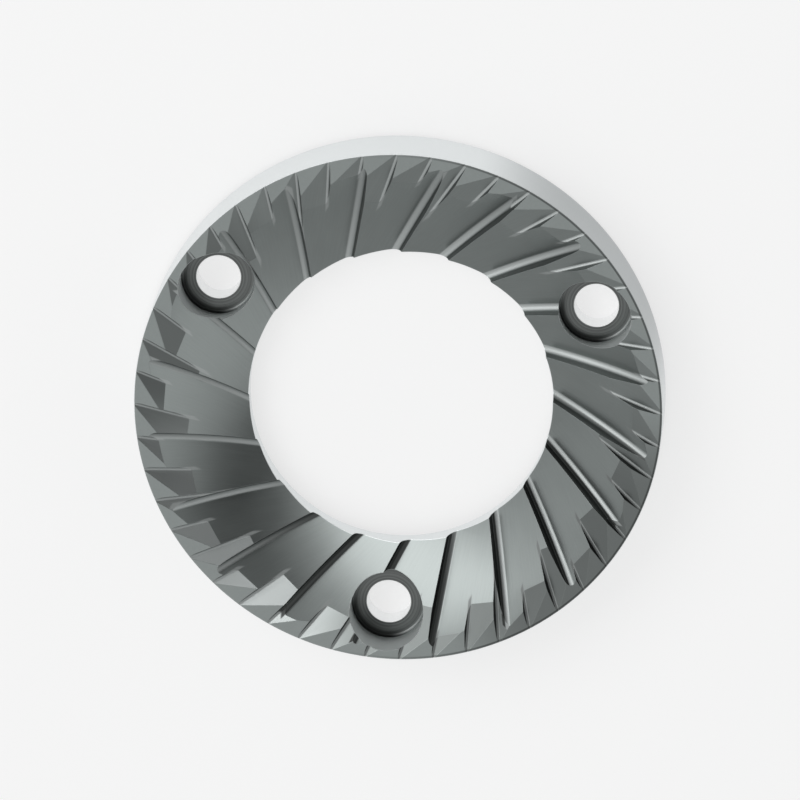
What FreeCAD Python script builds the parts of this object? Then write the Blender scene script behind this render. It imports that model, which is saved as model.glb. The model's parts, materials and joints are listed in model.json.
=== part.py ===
# Flat grinding burr of a coffee grinder: one machined steel ring, millimetres.
#
# The ring lies on its back face with its teeth up. The origin is the centre of the back face
# and +Z is the axis of the bore. Angles run counterclockwise, seen from above, from +X.
#
# The blank is turned. Twenty sawtooth breaker grooves are then sunk with a disc cutter whose
# axis lies square to each groove, so their roots sweep up to the rim as arcs. Forty-eight
# fine grinding teeth are cut into the rim with a straight V that is narrowly blunted, and three
# counterbored screw holes run through the ring.

import FreeCAD, Part
import os

import Sketcher

# Driving dimensions: alias, value, what it is
SIZES = [
    ("OuterDiameter", 64.0, "rim of the ring"),
    ("BoreDiameter", 37.0, "bore through the ring"),
    ("Height", 9.0, "back face to grinding face"),
    ("BackEdgeChamfer", 0.75, "chamfer of the rim at the back face"),
    ("BoreChamfer", 1.7, "chamfer of the bore at the back face"),
    ("ScrewCount", 3, "screw holes"),
    ("ScrewPitchDiameter", 53.0, "circle through the screw holes"),
    ("ScrewHoleDiameter", 5.4, "clearance hole through the ring"),
    ("ScrewSeatDiameter", 9.0, "counterbore of a screw hole"),
    ("ScrewSeatDepth", 5.6, "grinding face to the seat of a counterbore"),
    ("ScrewAngle", 30.0, "angle of the first screw hole"),
    ("GrooveCount", 20, "breaker grooves"),
    ("GrooveAngle", -25.0, "direction of the first groove"),
    ("GrooveOffset", 9.0, "foot of a groove's cutting wall to the axis of the ring"),
    ("GrooveRootWidth", 0.8, "narrow flat at the root of a groove"),
    ("GrooveDepth", 5.5, "root of a groove below the grinding face, at the bore"),
    ("GrooveMargin", 1.6, "rim to where the root of a groove comes out of the face"),
    ("GrooveWallLean", 17.0, "cutting wall of a groove, off square"),
    ("GrooveLandRise", 25.5, "land behind a groove, off level"),
    ("DiscRadius", 37.0, "radius of the disc that sinks a groove"),
    ("DiscFlank", 9.25, "height of the disc's flanks, more than it sinks"),
    ("ToothCount", 48, "fine teeth"),
    ("ToothAngle", 3.0, "where the root of the first fine tooth starts on the rim"),
    ("ToothSkew", 18.5, "root of a fine tooth, off the radius at the rim"),
    ("ToothFall", 14.0, "root of a fine tooth, off level, falling inwards"),
    ("ToothRootWidth", 0.33, "blunt tip of the V, which is the root of a fine tooth"),
    ("ToothWallLean", 17.5, "cutting wall of a fine tooth, off square"),
    ("ToothFaceRise", 20.8, "face behind the root of a fine tooth, off level"),
    ("VeeHeight", 7.3, "height of the V that cuts a fine tooth, more than it sinks"),
    ("VeeInwards", 17.5, "length of the V from the rim inwards, past the bore"),
    ("VeeOutwards", 4.5, "length of the V from the rim outwards, clear of it"),
]


def make_sheet(doc):
    """The spreadsheet of driving dimensions, one alias a row."""
    sheet = doc.addObject("Spreadsheet::Sheet", "Sizes")
    for row, (alias, value, meaning) in enumerate(SIZES, start=1):
        sheet.set("A%d" % row, meaning)
        sheet.set("B%d" % row, str(value))
        sheet.setAlias("B%d" % row, alias)
    doc.recompute()


def origin_feature(body, role):
    """One of the body's own origin planes or axes."""
    return [item for item in body.Origin.OriginFeatures if item.Role == role][0]


def sketch_on(body, name, role):
    """An empty sketch on one of the body's origin planes."""
    sketch = body.newObject("Sketcher::SketchObject", name)
    sketch.AttachmentSupport = [(origin_feature(body, role), "")]
    sketch.MapMode = "FlatFace"
    return sketch


def dimension(sketch, kind, name, where, formula):
    """A named dimension of the sketch, driven by a formula of the sheet's values."""
    value = float(sketch.evalExpression(formula))
    index = sketch.addConstraint(Sketcher.Constraint(kind, *where, value))
    sketch.renameConstraint(index, name)
    sketch.setExpression("Constraints." + name, formula)


def place_point(sketch, name, shape, end, x_formula, y_formula):
    """Holds a point of the sketch at a place given by two formulas; "0" puts it on an axis."""
    vertical_axis, horizontal_axis = -2, -1
    for kind, axis, formula in (("DistanceX", vertical_axis, x_formula),
                                ("DistanceY", horizontal_axis, y_formula)):
        if formula == "0":
            sketch.addConstraint(Sketcher.Constraint("PointOnObject", shape, end, axis))
        else:
            dimension(sketch, kind, name + kind[-1], (-1, 1, shape, end), formula)


def outline(sketch, corners):
    """A closed outline of straight lines through named corners, each placed by two formulas."""
    points = [FreeCAD.Vector(float(sketch.evalExpression(x)), float(sketch.evalExpression(y)), 0)
              for _, x, y in corners]
    for line, point in enumerate(points):
        following = points[(line + 1) % len(points)]
        sketch.addGeometry(Part.LineSegment(point, following), False)
    for line in range(len(points)):
        following = (line + 1) % len(points)
        sketch.addConstraint(Sketcher.Constraint("Coincident", line, 2, following, 1))
    for line, (name, x, y) in enumerate(corners):
        place_point(sketch, name, line, 1, x, y)


def polar(body, feature, name, count, doc):
    """Repeats a cut round the axis of the ring."""
    pattern = body.newObject("PartDesign::PolarPattern", name)
    pattern.Originals = [feature]
    pattern.Axis = (origin_feature(body, "Z_Axis"), [""])
    pattern.Angle = 360
    pattern.setExpression("Occurrences", "Sizes." + count)
    body.Tip = pattern
    doc.recompute()


def turn_blank(body, doc):
    """The turned ring, with its two chamfers at the back."""
    sketch = sketch_on(body, "BlankProfile", "XZ_Plane")
    outline(sketch, [
        ("BackIn", "Sizes.BoreDiameter / 2 + Sizes.BoreChamfer", "0"),
        ("BackOut", "Sizes.OuterDiameter / 2 - Sizes.BackEdgeChamfer", "0"),
        ("RimLow", "Sizes.OuterDiameter / 2", "Sizes.BackEdgeChamfer"),
        ("RimTop", "Sizes.OuterDiameter / 2", "Sizes.Height"),
        ("BoreTop", "Sizes.BoreDiameter / 2", "Sizes.Height"),
        ("BoreLow", "Sizes.BoreDiameter / 2", "Sizes.BoreChamfer"),
    ])
    blank = body.newObject("PartDesign::Revolution", "Blank")
    blank.Profile = sketch
    blank.ReferenceAxis = (sketch, ["V_Axis"])
    blank.Angle = 360
    body.Tip = blank
    doc.recompute()


# Place of the breaker groove's disc cutter. Its tip passes through two points of the root
# line: GrooveDepth below the face at the bore, and on the face at GrooveMargin from the rim.
# "Along" is measured on the groove's own line, from the foot of its square to the ring's axis.
BORE_ALONG = "sqrt((Sizes.BoreDiameter / 2)^2 - Sizes.GrooveOffset^2)"
END_ALONG = "sqrt((Sizes.OuterDiameter / 2 - Sizes.GrooveMargin)^2 - Sizes.GrooveOffset^2)"
RUN = "(%s - %s)" % (END_ALONG, BORE_ALONG)
CHORD = "sqrt(%s^2 + Sizes.GrooveDepth^2)" % RUN
TO_CHORD = "sqrt(Sizes.DiscRadius^2 - %s^2 / 4)" % CHORD
DISC_ALONG = "((%s + %s) / 2 - Sizes.GrooveDepth / %s * %s)" % (
    END_ALONG, BORE_ALONG, CHORD, TO_CHORD)
DISC_ABOVE = "(%s / %s * %s - Sizes.GrooveDepth / 2)" % (RUN, CHORD, TO_CHORD)


def cut_grooves(body, doc):
    """Breaker grooves: a disc cutter with a steep and a shallow flank, sunk from above."""
    sketch = sketch_on(body, "DiscProfile", "YZ_Plane")
    turned = "(Sizes.GrooveAngle * 1deg)"
    sketch.setExpression("AttachmentOffset.Rotation.Pitch", "Sizes.GrooveAngle")
    sketch.setExpression("AttachmentOffset.Base.x", "%s * sin%s" % (DISC_ALONG, turned))
    sketch.setExpression("AttachmentOffset.Base.y", "Sizes.Height + " + DISC_ABOVE)
    sketch.setExpression("AttachmentOffset.Base.z", "%s * cos%s" % (DISC_ALONG, turned))
    # Half section of the disc, hanging below its axis
    tip = "-Sizes.DiscRadius"
    shoulder = "Sizes.DiscFlank - Sizes.DiscRadius"
    wall_foot = "Sizes.GrooveOffset"
    land_foot = "Sizes.GrooveOffset + Sizes.GrooveRootWidth"
    wall_top = wall_foot + " - Sizes.DiscFlank * tan(Sizes.GrooveWallLean * 1deg)"
    land_top = land_foot + " + Sizes.DiscFlank / tan(Sizes.GrooveLandRise * 1deg)"
    outline(sketch, [
        ("WallFoot", wall_foot, tip),
        ("LandFoot", land_foot, tip),
        ("LandTop", land_top, shoulder),
        ("LandHub", land_top, "0"),
        ("WallHub", wall_top, "0"),
        ("WallTop", wall_top, shoulder),
    ])
    groove = body.newObject("PartDesign::Groove", "Groove")
    groove.Profile = sketch
    groove.ReferenceAxis = (sketch, ["H_Axis"])
    groove.Angle = 360
    body.Tip = groove
    doc.recompute()
    polar(body, groove, "Grooves", "GrooveCount", doc)


def cut_teeth(body, doc):
    """Fine teeth: a blunt V whose root starts on the rim of the face and falls inwards."""
    sketch = sketch_on(body, "VeeProfile", "YZ_Plane")
    on_rim = "Sizes.OuterDiameter / 2 * %s(Sizes.ToothAngle * 1deg)"
    sketch.setExpression("AttachmentOffset.Rotation.Pitch", "Sizes.ToothAngle - Sizes.ToothSkew")
    sketch.setExpression("AttachmentOffset.Rotation.Roll", "-Sizes.ToothFall")
    sketch.setExpression("AttachmentOffset.Base.x", on_rim % "sin")
    sketch.setExpression("AttachmentOffset.Base.y", "Sizes.Height")
    sketch.setExpression("AttachmentOffset.Base.z", on_rim % "cos")
    face_foot = "Sizes.ToothRootWidth"
    face_top = face_foot + " + Sizes.VeeHeight / tan(Sizes.ToothFaceRise * 1deg)"
    wall_top = "-Sizes.VeeHeight * tan(Sizes.ToothWallLean * 1deg)"
    outline(sketch, [
        ("WallFoot", "0", "0"),
        ("FaceFoot", face_foot, "0"),
        ("FaceTop", face_top, "Sizes.VeeHeight"),
        ("WallTop", wall_top, "Sizes.VeeHeight"),
    ])
    tooth = body.newObject("PartDesign::Pocket", "Tooth")
    tooth.Profile = sketch
    tooth.SideType = "Two sides"
    tooth.setExpression("Length", "Sizes.VeeInwards")
    tooth.setExpression("Length2", "Sizes.VeeOutwards")
    body.Tip = tooth
    doc.recompute()
    polar(body, tooth, "Teeth", "ToothCount", doc)


def cut_screw_holes(body, doc):
    """Counterbored screw holes, sunk from the grinding face."""
    around = "Sizes.ScrewPitchDiameter / 2 * %s(Sizes.ScrewAngle * 1deg)"
    for name, through in (("ScrewSeat", False), ("ScrewHole", True)):
        sketch = sketch_on(body, name + "Profile", "XY_Plane")
        sketch.setExpression("AttachmentOffset.Base.z", "Sizes.Height")
        diameter = "Sizes.%sDiameter" % name
        centre = FreeCAD.Vector(float(sketch.evalExpression(around % "cos")),
                                float(sketch.evalExpression(around % "sin")), 0)
        radius = float(sketch.evalExpression(diameter)) / 2
        circle = sketch.addGeometry(Part.Circle(centre, FreeCAD.Vector(0, 0, 1), radius), False)
        dimension(sketch, "Diameter", "Size", (circle,), diameter)
        place_point(sketch, "Centre", circle, 3, around % "cos", around % "sin")
        cut = body.newObject("PartDesign::Pocket", name)
        cut.Profile = sketch
        if through:
            cut.Type = "ThroughAll"
        else:
            cut.setExpression("Length", "Sizes.ScrewSeatDepth")
        body.Tip = cut
        doc.recompute()
        polar(body, cut, name + "s", "ScrewCount", doc)


def check(doc, parts):
    """Stops if any object failed or a part is not one sound solid."""
    for item in doc.Objects:
        if {"Invalid", "Error"} & set(item.State):
            raise RuntimeError("%s failed: %s" % (item.Name, item.State))
    for part in parts:
        shape = part.Shape
        if shape.isNull() or not shape.isValid() or len(shape.Solids) != 1:
            raise RuntimeError("%s is not one sound solid" % part.Label)
        box = shape.optimalBoundingBox()
        print("%s: volume %.1f mm3, %d faces, %.3f x %.3f x %.3f mm" % (
            part.Label, shape.Volume, len(shape.Faces), box.XLength, box.YLength, box.ZLength))


def main():
    doc = FreeCAD.newDocument("GrinderBurr")
    make_sheet(doc)
    burr = doc.addObject("PartDesign::Body", "Burr")
    burr.Label = "burr_ring"
    for step in (turn_blank, cut_grooves, cut_teeth, cut_screw_holes):
        step(burr, doc)
        print("%s: %.1f mm3" % (step.__name__, burr.Shape.Volume))
    parts = [burr]
    check(doc, parts)
    os.makedirs("parts", exist_ok=True)
    for part in parts:
        part.Shape.exportStep("parts/%s.step" % part.Label)


main()
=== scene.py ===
# %% [markdown]
# A flat grinding burr, as it comes out of a coffee grinder: a ring of tool steel whose whole
# upper face is cut into teeth. The CAD model gives the ring its sizes and its place, so this
# script first loads it and reads every size that it can from there. The ring lies on its back
# with the teeth up, and the photograph looks down on the teeth, so the camera does that too.

# %% Load the frame
import json
import math

import bmesh
import bpy
from mathutils import Matrix, Vector


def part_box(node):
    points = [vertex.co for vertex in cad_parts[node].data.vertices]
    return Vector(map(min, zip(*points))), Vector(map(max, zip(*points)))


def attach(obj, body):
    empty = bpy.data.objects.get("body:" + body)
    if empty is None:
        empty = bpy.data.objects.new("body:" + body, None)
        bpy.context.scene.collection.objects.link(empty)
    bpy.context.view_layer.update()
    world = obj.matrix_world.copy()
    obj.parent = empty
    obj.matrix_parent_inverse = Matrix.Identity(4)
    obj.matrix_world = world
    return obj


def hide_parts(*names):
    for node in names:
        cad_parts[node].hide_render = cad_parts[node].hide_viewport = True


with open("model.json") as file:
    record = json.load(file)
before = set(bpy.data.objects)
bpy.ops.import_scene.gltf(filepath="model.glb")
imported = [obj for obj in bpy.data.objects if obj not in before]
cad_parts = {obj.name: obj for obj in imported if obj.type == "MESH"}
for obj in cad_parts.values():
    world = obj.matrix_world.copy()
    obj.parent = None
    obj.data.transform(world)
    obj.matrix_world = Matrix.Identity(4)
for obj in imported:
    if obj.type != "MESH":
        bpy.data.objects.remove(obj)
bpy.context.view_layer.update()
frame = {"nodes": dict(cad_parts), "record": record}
MM = 0.001
_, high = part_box("burr_ring")
mounts = {mount["name"]: mount["dims"] for mount in frame["record"]["mounts"]}
OUTER = high.x
HEIGHT = high.z
BORE = mounts["bore"]["r_mm"] * MM
SCREW_REACH = mounts["screw_holes"]["pcd_mm"] / 2 * MM
SCREW_HOLE = mounts["screw_holes"]["hole_r_mm"] * MM
print("ring %.1f mm across, bore %.1f mm, %.1f mm high" % (OUTER * 2e3, BORE * 2e3, HEIGHT * 1e3))

# %% [markdown]
# The blank is a turned ring. Turning is a profile swept round an axis, so one small lathe
# function makes the blank and also every round cutter. Its outline is a list of radius and
# height. A closed outline makes a ring, and an open one that starts and ends on the axis makes
# a solid bar. The mesh is much finer round the rim than the CAD one, so that the edge and the
# bore show no flats under a hard light.

# %% A lathe for the blank and the round cutters
def lathe(name, outline, segments, ring):
    """A mesh object: the outline of (radius, height) points turned about Z."""
    mesh = bmesh.new()
    turns = []
    for i in range(segments):
        angle = 2 * math.pi * i / segments
        column = []
        for k, (radius, height) in enumerate(outline):
            on_axis = not ring and k in (0, len(outline) - 1)
            if on_axis and i > 0:
                column.append(turns[0][k])
            else:
                place = (radius * math.cos(angle), radius * math.sin(angle), height)
                column.append(mesh.verts.new(place))
        turns.append(column)
    spans = len(outline) if ring else len(outline) - 1
    for i in range(segments):
        here, there = turns[i], turns[(i + 1) % segments]
        for k in range(spans):
            n = (k + 1) % len(outline)
            corners = [here[k], there[k], there[n], here[n]]
            mesh.faces.new(list(dict.fromkeys(corners)))
    bmesh.ops.recalc_face_normals(mesh, faces=mesh.faces)
    data = bpy.data.meshes.new(name)
    mesh.to_mesh(data)
    mesh.free()
    piece = bpy.data.objects.new(name, data)
    bpy.context.scene.collection.objects.link(piece)
    return piece


RIM_SEGMENTS = 480
BACK_CHAMFER = 0.75 * MM
BORE_CHAMFER = 1.7 * MM
burr = lathe("burr", [
    (BORE + BORE_CHAMFER, 0.0),
    (OUTER - BACK_CHAMFER, 0.0),
    (OUTER, BACK_CHAMFER),
    (OUTER, HEIGHT),
    (BORE, HEIGHT),
    (BORE, BORE_CHAMFER),
], RIM_SEGMENTS, ring=True)
print("blank: %d faces" % len(burr.data.polygons))

# %% [markdown]
# Both kinds of teeth are cut with a lopsided V: a steep flank leaves the cutting wall, and a
# shallow one leaves the land behind it. No real cutter ends in a perfect point, and its
# blunt tip leaves the thin bright lines that draw the teeth. The CAD model has a narrow flat
# there. A round that touches that flat and both flanks is finer, catches the light along a
# soft line, and changes no size, so one small function makes it for both cutters.

# %% The rounded tip of a cutter
TIP_STEPS = 14


def rounded_tip(width, wall_lean, land_rise):
    """Points (across, up) of a round that touches the wall, the flat root and the land."""
    wall_turn = (math.pi / 2 - wall_lean) / 2
    round_radius = width / (math.tan(wall_turn) + math.tan(land_rise / 2))
    points = []
    for step in range(TIP_STEPS + 1):
        around = -2 * wall_turn + (2 * wall_turn + land_rise) * step / TIP_STEPS
        points.append((round_radius * (math.tan(wall_turn) + math.sin(around)),
                       round_radius * (1 - math.cos(around))))
    return points


# %% [markdown]
# A breaker groove is sunk by a disc cutter of that section. Because the disc is sunk from
# above and not drawn through, the root climbs to the face in an arc. The disc's place
# follows from three sizes: how deep it goes at the bore, where it comes out near the rim,
# and how far its root line passes from the axis.

# %% The disc that sinks a breaker groove
GROOVE_COUNT = 20
GROOVE_ANGLE = math.radians(-25.0)
GROOVE_OFFSET = 9.0 * MM
ROOT_WIDTH = 0.8 * MM
GROOVE_DEPTH = 5.5 * MM
GROOVE_MARGIN = 1.6 * MM
GROOVE_LEAN = math.radians(17.0)
GROOVE_RISE = math.radians(25.5)
DISC_RADIUS = 37.0 * MM
DISC_FLANK = 9.25 * MM
DISC_SEGMENTS = 720

bore_along = math.sqrt(BORE**2 - GROOVE_OFFSET**2)
end_along = math.sqrt((OUTER - GROOVE_MARGIN)**2 - GROOVE_OFFSET**2)
run = end_along - bore_along
chord = math.hypot(run, GROOVE_DEPTH)
to_chord = math.sqrt(DISC_RADIUS**2 - chord**2 / 4)
disc_along = (end_along + bore_along) / 2 - GROOVE_DEPTH / chord * to_chord
disc_above = run / chord * to_chord - GROOVE_DEPTH / 2

wall_top = GROOVE_OFFSET - DISC_FLANK * math.tan(GROOVE_LEAN)
land_top = GROOVE_OFFSET + ROOT_WIDTH + DISC_FLANK / math.tan(GROOVE_RISE)
outline = [(0.0, wall_top), (DISC_RADIUS - DISC_FLANK, wall_top)]
for aside, up in rounded_tip(ROOT_WIDTH, GROOVE_LEAN, GROOVE_RISE):
    outline.append((DISC_RADIUS - up, GROOVE_OFFSET + aside))
outline += [(DISC_RADIUS - DISC_FLANK, land_top), (0.0, land_top)]
groove_cutter = lathe("groove_cutter", outline, DISC_SEGMENTS, ring=False)
across = Matrix(((0, 1, 0), (0, 0, 1), (1, 0, 0))).to_4x4()
groove_cutter.data.transform(
    Matrix.Rotation(GROOVE_ANGLE, 4, "Z")
    @ Matrix.Translation((disc_along, 0, HEIGHT + disc_above))
    @ across)
print("disc axis %.1f mm along, %.1f mm above the face" % (disc_along * 1e3, disc_above * 1e3))

# %% [markdown]
# The fine teeth at the rim do the grinding. Each is cut in a straight line that starts exactly
# on the edge of the face and falls inwards, so the rim stays a clean circle and each cut widens
# and deepens until it meets the land of a breaker groove. The cutter is a straight bar of the
# same kind of section, laid along its root line.

# %% The V that cuts a fine tooth
TOOTH_COUNT = 48
TOOTH_ANGLE = math.radians(3.0)
TOOTH_SKEW = math.radians(18.5)
TOOTH_FALL = math.radians(14.0)
TOOTH_ROOT = 0.33 * MM
TOOTH_LEAN = math.radians(17.5)
TOOTH_RISE = math.radians(20.8)
V_HEIGHT = 7.3 * MM
V_INWARDS = 17.5 * MM
V_OUTWARDS = 4.5 * MM

section = rounded_tip(TOOTH_ROOT, TOOTH_LEAN, TOOTH_RISE)
section.append((TOOTH_ROOT + V_HEIGHT / math.tan(TOOTH_RISE), V_HEIGHT))
section.append((-V_HEIGHT * math.tan(TOOTH_LEAN), V_HEIGHT))
bar = bmesh.new()
inner = [bar.verts.new((x, y, -V_INWARDS)) for x, y in section]
outer = [bar.verts.new((x, y, V_OUTWARDS)) for x, y in section]
bar.faces.new(inner[::-1])
bar.faces.new(outer)
for i in range(len(section)):
    n = (i + 1) % len(section)
    bar.faces.new((inner[i], inner[n], outer[n], outer[i]))
bmesh.ops.recalc_face_normals(bar, faces=bar.faces)
tooth_data = bpy.data.meshes.new("tooth_cutter")
bar.to_mesh(tooth_data)
bar.free()
tooth_cutter = bpy.data.objects.new("tooth_cutter", tooth_data)
bpy.context.scene.collection.objects.link(tooth_cutter)
start = Vector((OUTER * math.cos(TOOTH_ANGLE), OUTER * math.sin(TOOTH_ANGLE), HEIGHT))
stand = Matrix(((0, 0, 1), (1, 0, 0), (0, 1, 0))).to_4x4()
tooth_cutter.data.transform(
    Matrix.Translation(start)
    @ Matrix.Rotation(TOOTH_ANGLE - TOOTH_SKEW, 4, "Z")
    @ Matrix.Rotation(-TOOTH_FALL, 4, "Y")
    @ stand)
print("tooth cutter: %d faces" % len(tooth_data.polygons))

# %% [markdown]
# Each screw hole has a counterbore, and its seat lies well below the teeth. A stepped bar
# cuts the hole and the seat at once. Its corner is rounded a little, as a counterbore's is,
# and that round catches the light at the foot of the wall.

# %% The stepped cutter for a screw hole
SCREW_COUNT = mounts["screw_holes"]["count"]
SCREW_ANGLE = math.radians(30.0)
SEAT_RADIUS = 4.5 * MM
SEAT_DEPTH = 5.6 * MM
SEAT_ROUND = 0.35 * MM
seat = HEIGHT - SEAT_DEPTH
PROUD = 1.0 * MM
stepped = [(0.0, -PROUD), (SCREW_HOLE, -PROUD), (SCREW_HOLE, seat)]
for step in range(TIP_STEPS + 1):
    around = math.pi / 2 * step / TIP_STEPS
    stepped.append((SEAT_RADIUS - SEAT_ROUND + SEAT_ROUND * math.sin(around),
                    seat + SEAT_ROUND - SEAT_ROUND * math.cos(around)))
stepped += [(SEAT_RADIUS, HEIGHT + PROUD), (0.0, HEIGHT + PROUD)]
SCREW_SEGMENTS = 128
screw_cutter = lathe("screw_cutter", stepped, SCREW_SEGMENTS, ring=False)
screw_cutter.data.transform(
    Matrix.Rotation(SCREW_ANGLE, 4, "Z") @ Matrix.Translation((SCREW_REACH, 0, 0)))
print("seat %.1f mm above the back" % (seat * 1e3))

# %% [markdown]
# The three cutters repeat round the ring 20, 48 and 3 times. That is a rule, so a Geometry
# Nodes tree does it: for each cutter, a few points all at the axis, one instance on each,
# turned by its share of a full circle. One boolean then takes them all out of the blank.

# %% A node tree that cuts the teeth round the ring
def add_node(tree, kind, settings=None, **links):
    """A node of a geometry tree, with its settings and its named inputs."""
    node = tree.nodes.new(kind)
    for key, value in (settings or {}).items():
        setattr(node, key, value)
    for name, value in links.items():
        socket = node.inputs[name.replace("_", " ")]
        if isinstance(value, bpy.types.NodeSocket):
            tree.links.new(value, socket)
        else:
            socket.default_value = value
    return node


tree = bpy.data.node_groups.new("cut_round_the_ring", "GeometryNodeTree")
interface = tree.interface
interface.new_socket("Blank", in_out="INPUT", socket_type="NodeSocketGeometry")
CUTS = (("Groove", groove_cutter, GROOVE_COUNT),
        ("Tooth", tooth_cutter, TOOTH_COUNT),
        ("Screw", screw_cutter, SCREW_COUNT))
for name, _, _ in CUTS:
    interface.new_socket(name + " cutter", in_out="INPUT", socket_type="NodeSocketObject")
    interface.new_socket(name + " count", in_out="INPUT", socket_type="NodeSocketInt")
interface.new_socket("Finish", in_out="INPUT", socket_type="NodeSocketMaterial")
interface.new_socket("Burr", in_out="OUTPUT", socket_type="NodeSocketGeometry")
entry = tree.nodes.new("NodeGroupInput")
difference = tree.nodes.new("GeometryNodeMeshBoolean")
difference.operation = "DIFFERENCE"
difference.solver = "MANIFOLD"
tree.links.new(entry.outputs["Blank"], difference.inputs[0])
for name, _, _ in CUTS:
    count = entry.outputs[name + " count"]
    share = add_node(tree, "ShaderNodeMath", {"operation": "DIVIDE"})
    share.inputs[0].default_value = 2 * math.pi
    tree.links.new(count, share.inputs[1])
    index = add_node(tree, "GeometryNodeInputIndex")
    turn = add_node(tree, "ShaderNodeMath", {"operation": "MULTIPLY"})
    tree.links.new(index.outputs[0], turn.inputs[0])
    tree.links.new(share.outputs[0], turn.inputs[1])
    spin = add_node(tree, "ShaderNodeCombineXYZ", Z=turn.outputs[0])
    points = add_node(tree, "GeometryNodePoints", Count=count)
    cutter = add_node(tree, "GeometryNodeObjectInfo", Object=entry.outputs[name + " cutter"])
    copies = add_node(tree, "GeometryNodeInstanceOnPoints", Points=points.outputs[0],
                      Instance=cutter.outputs["Geometry"], Rotation=spin.outputs[0])
    tree.links.new(copies.outputs[0], difference.inputs[1])
whole = add_node(tree, "GeometryNodeRealizeInstances", Geometry=difference.outputs[0])
finish = add_node(tree, "GeometryNodeSetMaterial", Geometry=whole.outputs[0],
                  Material=entry.outputs["Finish"])
leave = tree.nodes.new("NodeGroupOutput")
tree.links.new(finish.outputs[0], leave.inputs["Burr"])
print("tree: %d nodes for %d cuts" % (len(tree.nodes), sum(count for _, _, count in CUTS)))

# %% [markdown]
# The finish is bare tool steel, ground and milled and never polished: cool grey, satin, with
# the marks of the tools that made each surface. Maths on sockets is easier to read as plain
# expressions, so one class wraps a socket and gives it the usual operators.

# %% Arithmetic on shader sockets
class Value:
    """A shader socket, with arithmetic that adds Math nodes."""

    def __init__(self, nodes, socket):
        self.nodes = nodes
        self.socket = socket

    def maths(self, operation, *others):
        """A Math node of this value and the others."""
        return make(self.nodes, "ShaderNodeMath", {"operation": operation}, self, *others)

    def __add__(self, other):
        return self.maths("ADD", other)

    def __sub__(self, other):
        return self.maths("SUBTRACT", other)

    def __mul__(self, other):
        return self.maths("MULTIPLY", other)

    def __truediv__(self, other):
        return self.maths("DIVIDE", other)

    def __rsub__(self, other):
        return make(self.nodes, "ShaderNodeMath", {"operation": "SUBTRACT"}, other, self)

    def __rtruediv__(self, other):
        return make(self.nodes, "ShaderNodeMath", {"operation": "DIVIDE"}, other, self)

    def __or__(self, other):
        return self.maths("MAXIMUM", other)

    __radd__ = __add__
    __rmul__ = __mul__

    def between(self, start, end):
        """0 below start, 1 above end, and smooth between them."""
        settings = {"interpolation_type": "SMOOTHSTEP"}
        return make(self.nodes, "ShaderNodeMapRange", settings, self, start, end, 0.0, 1.0)


def make(nodes, kind, settings, *values, output=0):
    """Adds a node: settings first, then the values or links of its sockets in order."""
    node = nodes.new(kind)
    for key, value in settings.items():
        setattr(node, key, value)
    for place, value in enumerate(values):
        if isinstance(value, Value):
            nodes.id_data.links.new(value.socket, node.inputs[place])
        elif value is not None:
            node.inputs[place].default_value = value
    return Value(nodes, node.outputs[output])


def split(nodes, vector):
    """The three numbers of a vector."""
    parts = make(nodes, "ShaderNodeSeparateXYZ", {}, vector).socket.node.outputs
    return [Value(nodes, part) for part in parts]


# %% [markdown]
# Each tool left its own marks. The lathe left fine turning on the rim and in the bore, and the
# counterbore left rings on the screw seats. The grinder left a faint grain on what remains of
# the flat face. The disc cutter left streaks that run along each groove: to draw those, the
# shader works out which groove a point belongs to, and then how far the point lies across
# that groove. The roots of both cuts are found in the same way, because they are painted
# paler, as a painted highlight. All lengths are in millimetres here, and the numbers in each
# grain are its cells to a millimetre.

# %% Where a point of the steel lies
steel = bpy.data.materials.new("machined_steel")
steel.use_nodes = True
nodes = steel.node_tree.nodes
links = steel.node_tree.links
shader = nodes["Principled BSDF"]
spot = make(nodes, "ShaderNodeTexCoord", {}, output="Object")
x, y, z = (number * (1 / MM) for number in split(nodes, spot))
radius = (x * x + y * y).maths("SQRT")
angle = y.maths("ARCTAN2", x)
BEFORE_WALL = 0.3


def beside_cut(offset, start, count):
    """Where a point lies beside its own one of a ring of straight cuts: across, and along."""
    lag = ((offset - BEFORE_WALL) / radius.maths("MAXIMUM", BORE / MM)).maths("ARCSINE")
    turn = (angle - lag - start).maths("FLOORED_MODULO", 2 * math.pi / count) + lag
    return radius * turn.maths("SINE"), radius * turn.maths("COSINE")


across_groove, along_groove = beside_cut(GROOVE_OFFSET / MM, GROOVE_ANGLE, GROOVE_COUNT)
disc_reach = along_groove - disc_along / MM
disc_drop = ((DISC_RADIUS / MM)**2 - disc_reach * disc_reach).maths("MAXIMUM", 0.0).maths("SQRT")
above_groove = z - (HEIGHT + disc_above) / MM + disc_drop

TOOTH_OFFSET = OUTER * math.sin(TOOTH_SKEW)
across_tooth, along_tooth = beside_cut(TOOTH_OFFSET / MM, TOOTH_ANGLE - TOOTH_SKEW, TOOTH_COUNT)
from_rim = OUTER * math.cos(TOOTH_SKEW) / MM - along_tooth
above_tooth = z - HEIGHT / MM + from_rim * math.tan(TOOTH_FALL)

SCREW_STEP = 2 * math.pi / SCREW_COUNT
past_step = (angle - SCREW_ANGLE + SCREW_STEP / 2).maths("FLOORED_MODULO", SCREW_STEP)
screw_turn = past_step - SCREW_STEP / 2
screw_x = radius * screw_turn.maths("COSINE") - SCREW_REACH / MM
screw_y = radius * screw_turn.maths("SINE")
from_screw = (screw_x * screw_x + screw_y * screw_y).maths("SQRT")
round_screw = screw_y.maths("ARCTAN2", screw_x) + angle - screw_turn


# %% The grain of each tool
def grain(first, second, third, detail):
    """Noise over three coordinates, one cell of noise to a unit, from 0 to 1."""
    cell = make(nodes, "ShaderNodeCombineXYZ", {}, first, second, third)
    return make(nodes, "ShaderNodeTexNoise", {}, cell, None, 1.0, detail)


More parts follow.
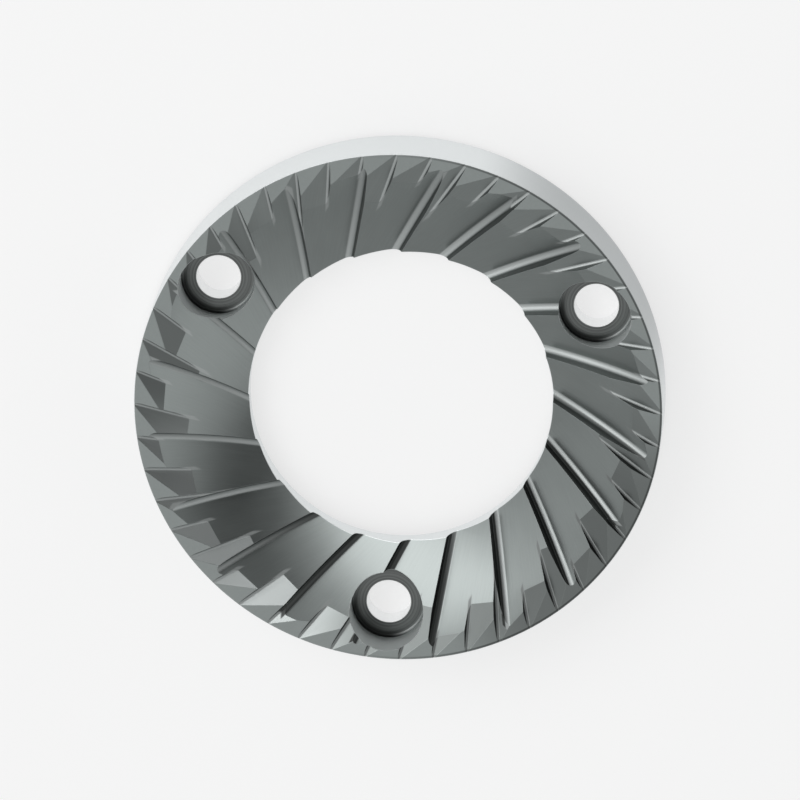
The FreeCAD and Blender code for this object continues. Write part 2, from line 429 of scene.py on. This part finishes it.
def at_root(across, offset, width, above):
    """1 on the narrow root of a cut and 0 off it or well above it, with soft edges."""
    inside = across.between(offset - 0.15, offset)
    outside = across.between(offset + width - 0.1, offset + width + 0.05)
    return inside * (1 - outside) * (1 - above.maths("ABSOLUTE").between(0.2, 0.35))


milled = grain(across_groove * 7.0, along_groove * 0.15, z * 0.7, 3.0)
turned = grain(radius * 8.0, z * 8.0, angle * 1.5, 3.0)
bored = grain(from_screw * 3.5, z * 3.5, 0.0, 2.0)
ground = grain(x * 3.5, y * 3.5, z * 3.5, 4.0)
cloud = grain(x * 0.13, y * 0.13, z * 0.2, 2.0)

# %% [markdown]
# A mask is a number that is 1 on one kind of surface and 0 on the others. Most of these masks
# ask how far a point lies from the axis, from a screw hole or from the back, because each tool
# worked at its own place. The two small numbers beside a size say where the mask starts and
# ends, a few hundredths of a millimetre apart. The larger of two masks, written with a bar,
# joins them.

# %% Which tool made a point
on_face = z.between(HEIGHT / MM - 0.03, HEIGHT / MM - 0.01)
on_rim = radius.between(OUTER / MM - 0.06, OUTER / MM - 0.03)
in_bore = 1 - radius.between(BORE / MM + 0.03, BORE / MM + 0.06)
in_hole = 1 - from_screw.between(SCREW_HOLE / MM + 0.02, SCREW_HOLE / MM + 0.05)
in_seat = 1 - from_screw.between(SEAT_RADIUS / MM + 0.01, SEAT_RADIUS / MM + 0.04)
by_lathe = on_rim | in_bore | in_hole
by_drill = in_seat * (1 - by_lathe)
by_grinder = on_face * (1 - by_lathe) * (1 - by_drill)
by_cutter = (1 - on_face) * (1 - by_lathe) * (1 - by_drill)

# %% [markdown]
# The parts of a tooth are told apart by where they look. A cutting wall is steep, a land leans
# in towards the bore, and the face of a fine tooth leans in less. The root lies between them,
# where the point is beside its cut by no more than the tip of the cutter is wide. A screw seat
# is told from its wall by the distance from its own centre.

# %% The parts of a tooth and of a screw seat
facing = make(nodes, "ShaderNodeTexCoord", {}, output="Normal")
lean_x, lean_y, lean_z = split(nodes, facing)
inward = (lean_x * x + lean_y * y) / radius * -1.0
STEEP = (0.50, 0.78)
LEANS_IN = (0.40, 0.47)
TEETH_FROM = (23.5, 24.5)
WALL_SIDE = 0.4 * ROOT_WIDTH / MM
groove_place = GROOVE_OFFSET / MM
groove_root = by_cutter * at_root(across_groove, groove_place, ROOT_WIDTH / MM, above_groove)
root_by_wall = by_cutter * at_root(across_groove, groove_place, WALL_SIDE, above_groove)
tooth_root = by_cutter * at_root(across_tooth, TOOTH_OFFSET / MM, TOOTH_ROOT / MM, above_tooth)
wall = by_cutter * (1 - lean_z.between(*STEEP))
among_teeth = radius.between(*TEETH_FROM)
tooth_face = by_cutter * (1 - wall) * among_teeth * (1 - inward.between(*LEANS_IN))
# A thin band of the face just inside the rim, where a painted dark edge line runs on the right.
rim_edge = (1 - on_rim) * radius.between(OUTER / MM - 0.34, OUTER / MM - 0.24)

SEAT_INSIDE = (SEAT_RADIUS - SEAT_ROUND) / MM
SEAT_TOP = (seat + SEAT_ROUND) / MM
CORNER_HEIGHT = 0.4
SHADED_SIDE = math.radians(235.0)
seat_floor = by_drill * (1 - from_screw.between(SEAT_INSIDE, SEAT_RADIUS / MM - 0.03))
seat_wall = by_drill * (1 - seat_floor)
# A painted shadow: on one side of each seat the floor next to its wall is painted almost black.
shaded = (round_screw - SHADED_SIDE).maths("COSINE").between(0.2, 0.8)
near_wall = from_screw.between(SEAT_INSIDE - 0.55, SEAT_INSIDE + 0.05)
painted_shadow_corner = by_drill * shaded * near_wall * (1 - z.between(SEAT_TOP, SEAT_TOP + CORNER_HEIGHT))

# %% [markdown]
# Shade and light are painted into the steel's colour, side by side. To the right of its foot
# the walls and the fine teeth are painted nearly black, as painted shade. The fine teeth are
# painted darker than the lands at the left, as painted shade, and lighter than them at the
# lower left, as painted light. The rim is painted pale at the top and grey at the upper right
# and along its whole lower side, as painted light and shade, and a painted dark line follows
# its edge on the right. A side is given by its angle on the ring, in degrees from +X, and by
# the cosines at which it starts and is whole.

# %% The sides of the ring
def on_side(direction, start, end):
    """1 on this side of the ring and 0 away from it, by the cosine of the angle between."""
    return (angle - math.radians(direction)).maths("COSINE").between(start, end)


right = on_side(0, -0.3, 0.5)
upper_right = on_side(40, 0.80, 0.98)
left = on_side(160, 0.80, 0.97)
lower_left = on_side(222, 0.75, 0.97)
lower_side = on_side(255, -0.1, 0.6)
bottom = on_side(262, 0.70, 0.97)
foot = on_side(305, 0.3, 0.9)
lower_right = on_side(325, 0.75, 0.95)

# %% The roots, walls and teeth with painted shade and painted light
FINE_ROOT_SHARE = 0.6
EDGE_SHARE = 0.7
root = groove_root | tooth_root
# Painted shade: the groove roots at the bottom and the fine roots at the foot are painted dark.
painted_shade_root = groove_root * bottom | tooth_root * foot * FINE_ROOT_SHARE
# Painted shade: the walls and the wall side of the roots at the foot are painted almost black,
# and a thin painted dark line runs along the rim's edge on the right.
painted_shade_walls_and_edge = wall * foot | root_by_wall * foot | rim_edge * right * EDGE_SHARE
# Painted shade on the fine teeth at the foot and the left and on the flat face at the lower
# right; painted light on the fine teeth at the lower left.
painted_shade_teeth_and_flats = tooth_face * foot | tooth_face * left | by_grinder * lower_right
painted_light_teeth = tooth_face * lower_left
# Painted shade: the rim is painted grey at the upper right and along its lower side.
painted_shade_rim = on_rim * (upper_right | lower_side)

# %% [markdown]
# Now the masks are put to use. The marks feed a bump that is only a hundredth of a millimetre
# high, and a Bevel node softens every edge in the shading, as a light stoning does on the real
# ring. The colours lie in layers: each share says where the next tone covers the ones before
# it. Over the satin steel most layers are painted shade and painted light: darker tones are
# painted where shade falls and paler ones where light falls. The steel is a metal all over, so
# its colour is the share of light that it throws back.

# %% Machined tool steel
relief = (milled * by_cutter * 0.6 + turned * by_lathe * 0.9 + bored * by_drill * 4.0
          + ground * by_grinder * 0.9)
BUMP_STRENGTH = 0.6
MARK_DEPTH = 0.012 * MM
EDGE_ROUND = 0.06 * MM
soft_edge = make(nodes, "ShaderNodeBevel", {"samples": 6}, EDGE_ROUND)
bump = make(nodes, "ShaderNodeBump", {}, BUMP_STRENGTH, MARK_DEPTH, None, relief, soft_edge)
links.new(bump.socket, shader.inputs["Normal"])


def blend_colours(share, first, second):
    """A colour that goes from the first to the second as the share goes from 0 to 1."""
    settings = {"data_type": "RGBA"}
    unused = (None,) * 5
    return make(nodes, "ShaderNodeMix", settings, share, *unused, first, second, output=2)


shade = (cloud * 0.4 + milled * by_cutter * 0.5 + ground * by_grinder * 0.35
         + turned * by_lathe * 0.4)
satin = blend_colours(shade, (0.29, 0.315, 0.31, 1.0), (0.39, 0.42, 0.412, 1.0))
# The seat floors are painted dark, a painted shade in the deep recess, with the real turning
# rings of the counterbore in that tone.
ring_shade = bored.between(0.3, 0.7)
rings_in_painted_shade = blend_colours(ring_shade, (0.11, 0.115, 0.112, 1.0), (0.19, 0.20, 0.197, 1.0))
colour = satin
# The first two layers are painted shade and painted light on the fine teeth, by side.
for share, tone in ((painted_shade_teeth_and_flats, (0.19, 0.204, 0.20, 1.0)),
                    (painted_light_teeth, (0.53, 0.56, 0.555, 1.0)),
                    # A painted highlight on the roots, which are painted paler, and painted shade
                    # where they are painted dark.
                    (root, (0.48, 0.505, 0.50, 1.0)),
                    (painted_shade_root, (0.09, 0.095, 0.093, 1.0)),
                    # Painted shade: every steep wall is painted dark, and the walls at the foot
                    # almost black.
                    (wall, (0.14, 0.148, 0.145, 1.0)),
                    (painted_shade_walls_and_edge, (0.05, 0.053, 0.051, 1.0)),
                    # Painted light: the walls of the seats are painted paler than the steel.
                    (seat_wall, (0.58, 0.61, 0.605, 1.0)),
                    # Painted shade on the seat floors, with their real rings.
                    (seat_floor, rings_in_painted_shade),
                    # A painted shadow on the shaded side of each seat.
                    (painted_shadow_corner, (0.03, 0.032, 0.031, 1.0)),
                    # Painted light: the turned rim, bore and holes are painted much paler than
                    # the rest of the steel.
                    (by_lathe, (0.83, 0.86, 0.865, 1.0)),
                    # Painted light: the walls of the holes are painted almost white.
                    (in_hole, (0.96, 0.97, 0.97, 1.0)),
                    # Painted shade on the rim at the upper right and along its lower side.
                    (painted_shade_rim, (0.46, 0.485, 0.49, 1.0))):
    colour = blend_colours(share, colour, tone)
links.new(colour.socket, shader.inputs["Base Color"])
shader.inputs["Metallic"].default_value = 1.0
SATIN = 0.28
roughness = (SATIN + cloud * 0.06 + by_grinder * 0.06 + milled * 0.04 + root * 0.14
             + seat_wall * 0.25)
links.new(roughness.socket, shader.inputs["Roughness"])
print("machined steel: %d nodes" % len(nodes))

# %% [markdown]
# Now the tree runs once on the blank. Its result is turned into a plain mesh, so nothing of
# the cutters is left in the model, and the CAD ring, which is the same shape with coarser
# curves, is hidden behind it.

# %% Cut the burr
modifier = burr.modifiers.new("cut", "NODES")
modifier.node_group = tree
inputs = [item for item in interface.items_tree if item.in_out == "INPUT"]
sockets = {item.name: item.identifier for item in inputs}
for name, cutter, count in CUTS:
    modifier[sockets[name + " cutter"]] = cutter
    modifier[sockets[name + " count"]] = count
modifier[sockets["Finish"]] = steel
evaluated = burr.evaluated_get(bpy.context.evaluated_depsgraph_get())
ring_data = bpy.data.meshes.new_from_object(evaluated)
burr.modifiers.clear()
burr.data = ring_data
ring_data.name = "burr"
for _, cutter, _ in CUTS:
    bpy.data.objects.remove(cutter)


def measure(data):
    """Volume in cubic millimetres, and how many edges don't join exactly two faces."""
    probe = bmesh.new()
    probe.from_mesh(data)
    bmesh.ops.remove_doubles(probe, verts=probe.verts, dist=1e-7)
    loose = sum(1 for edge in probe.edges if len(edge.link_faces) != 2)
    volume = probe.calc_volume() * 1e9
    probe.free()
    return volume, loose


print("burr: %d faces, %.1f mm3, %d open edges" % (len(ring_data.polygons), *measure(ring_data)))
print("CAD ring: %.1f mm3, %d open edges" % measure(frame["nodes"]["burr_ring"].data))
SMOOTH_UNDER = math.radians(6.5)
for polygon in ring_data.polygons:
    polygon.use_smooth = True
ring_data.set_sharp_from_angle(angle=SMOOTH_UNDER)
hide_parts("burr_ring")
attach(burr, "root")

# %% [markdown]
# The stage is a plain white table. Its own colour is a light grey, which takes the ring's soft
# shadow, and where the camera or a reflection looks straight at it a glow lifts it to white.

# %% A white table
TABLE_HALF = 0.6
TABLE_GREY = 0.30
TABLE_GLOW = 0.70
table_mesh = bpy.data.meshes.new("table")
corners = [(-TABLE_HALF, -TABLE_HALF, 0), (TABLE_HALF, -TABLE_HALF, 0),
           (TABLE_HALF, TABLE_HALF, 0), (-TABLE_HALF, TABLE_HALF, 0)]
table_mesh.from_pydata(corners, [], [(0, 1, 2, 3)])
table = bpy.data.objects.new("table", table_mesh)
bpy.context.scene.collection.objects.link(table)
white = bpy.data.materials.new("white_table")
white.use_nodes = True
white_nodes = white.node_tree.nodes
top = white_nodes["Principled BSDF"]
top.inputs["Base Color"].default_value = (TABLE_GREY, TABLE_GREY, TABLE_GREY, 1.0)
top.inputs["Roughness"].default_value = 0.6
top.inputs["Specular IOR Level"].default_value = 0.2
top.inputs["Emission Color"].default_value = (1.0, 1.0, 1.0, 1.0)
rays = ("Is Camera Ray", "Is Glossy Ray", "Is Transmission Ray")
by_camera, by_gloss, by_glass = (
    make(white_nodes, "ShaderNodeLightPath", {}, output=ray) for ray in rays)
seen = by_camera | by_gloss | by_glass
white.node_tree.links.new(seen.socket, top.inputs["Emission Color"])
top.inputs["Emission Strength"].default_value = TABLE_GLOW
table_mesh.materials.append(white)
print("table %.1f m wide" % (2 * TABLE_HALF))

# %% [markdown]
# Bare metal shows its surroundings more than its own colour, so the room is what makes the
# teeth readable. It is a mid grey all round, with soft bright patches where the lands look:
# beyond the right and the left of the ring, high over its foot, and at the upper left, where
# the one lamp hangs too. A darker patch lies at the upper right. Each patch is a direction in
# the room, so it stays in its place when the camera moves.

# %% Lights
world = bpy.data.worlds.new("room")
bpy.context.scene.world = world
world.use_nodes = True
room = world.node_tree.nodes
east, north, up = split(room, make(room, "ShaderNodeTexCoord", {}, output="Generated"))


def patch(direction, start, end):
    """1 where the room lies in this direction, 0 well beside it, by the cosine between them."""
    towards = Vector(direction).normalized()
    return (east * towards.x + north * towards.y + up * towards.z).between(start, end)


ROOM_COLOUR = (0.99, 1.0, 1.0, 1.0)
ROOM_GREY = 0.42
PATCHES = (
    ("beyond the right", 0.42, (0.89, -0.02, 0.45), 0.80, 1.0),
    ("beyond the left", 0.20, (-0.87, -0.15, 0.47), 0.82, 1.0),
    ("high over the foot", 0.55, (-0.20, -0.48, 0.85), 0.90, 0.985),
    ("upper left", 0.24, (-0.50, 0.44, 0.74), 0.70, 0.95),
    ("darker, upper right", -0.36, (0.36, 0.58, 0.73), 0.87, 0.97),
    ("a little darker, right", -0.08, (0.62, 0.22, 0.74), 0.90, 0.99),
)
level = ROOM_GREY
for name, gain, direction, start, end in PATCHES:
    level = level + gain * patch(direction, start, end)
    print("room %s: %+.2f" % (name, gain))
world.node_tree.links.new(level.socket, room["Background"].inputs["Strength"])
room["Background"].inputs["Color"].default_value = ROOM_COLOUR


def soft_light(name, direction, distance, size, power):
    """A square area light that looks at the ring from a direction."""
    data = bpy.data.lights.new(name, "AREA")
    data.shape = "SQUARE"
    data.size = size
    data.energy = power
    lamp = bpy.data.objects.new(name, data)
    towards = Vector(direction).normalized()
    lamp.location = towards * distance
    lamp.rotation_euler = towards.to_track_quat("Z", "Y").to_euler()
    bpy.context.scene.collection.objects.link(lamp)
    return lamp


KEY_FROM = (-0.53, 0.39, 0.75)
key = soft_light("key", KEY_FROM, distance=0.9, size=0.60, power=1.86)
print("key light at %.2f, %.2f, %.2f m" % tuple(key.location))

# %% [markdown]
# The camera stands far off with a long lens, as a product photographer's does, so the ring
# hardly narrows away from it. It leans 18 degrees from the ring's axis, towards the top of
# the picture, where the rim shows.

# %% Camera
VIEW_TILT = math.radians(18.13)
VIEW_TOWARDS = math.radians(80.4)
VIEW_ROLL = math.radians(3.9)
VIEW_DISTANCE = 1.2
RING_SHARE = 0.66
CLIP_END = 10.0
AIM_HEIGHT = HEIGHT * 0.6
hinge = Vector((-math.sin(VIEW_TOWARDS), math.cos(VIEW_TOWARDS), 0))
turn = Matrix.Rotation(VIEW_TILT, 4, hinge) @ Matrix.Rotation(VIEW_ROLL, 4, "Z")
camera_data = bpy.data.cameras.new("camera")
camera_data.lens = camera_data.sensor_width * RING_SHARE * VIEW_DISTANCE / (2 * OUTER)
camera_data.clip_end = CLIP_END
camera = bpy.data.objects.new("camera", camera_data)
aim = Vector((0, 0, AIM_HEIGHT))
camera.matrix_world = Matrix.Translation(aim + turn @ Vector((0, 0, VIEW_DISTANCE))) @ turn
bpy.context.scene.collection.objects.link(camera)
bpy.context.scene.camera = camera
bpy.context.scene.view_settings.view_transform = "Standard"
print("lens %.0f mm at %.1f m" % (camera_data.lens, VIEW_DISTANCE))
